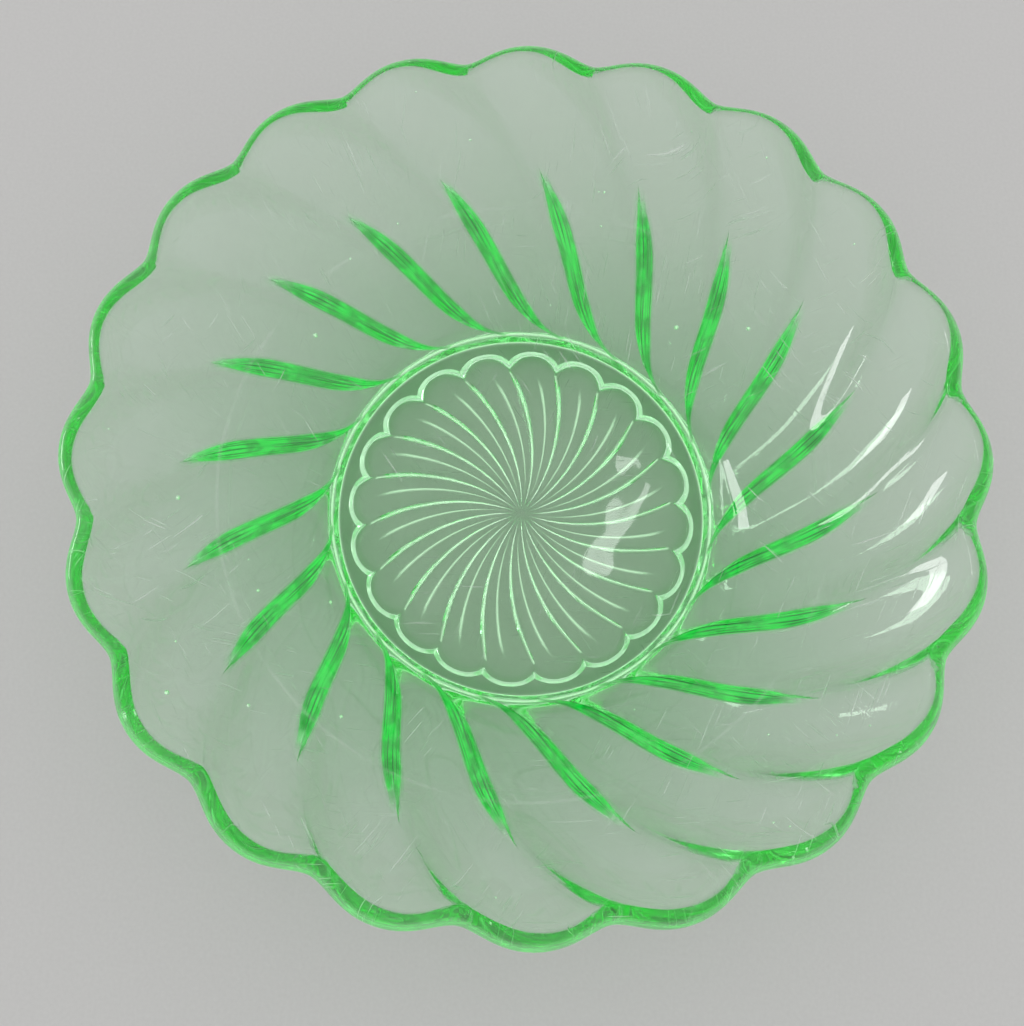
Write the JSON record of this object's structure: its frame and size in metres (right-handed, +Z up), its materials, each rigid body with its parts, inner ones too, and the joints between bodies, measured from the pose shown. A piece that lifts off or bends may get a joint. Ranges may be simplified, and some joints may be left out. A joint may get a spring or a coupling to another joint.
{
  "type": "glass dish",
  "caption": "Round flared dish pressed in transparent green glass, with swirled outside flutes, a scalloped rim and a low round foot with a star pressed underneath.",
  "frame": {"origin": "centre of the foot, on the table plane", "axes": "+Z up along the axis of the dish; +X and +Y across it, with a flute crest on +X where the wall meets the foot"},
  "size_m": [0.2292, 0.2292, 0.072],
  "materials": {
    "green_glass": "clear green, fire polished"
  },
  "bodies": {
    "root": {"dish": "green_glass"}
  },
  "joints": []
}
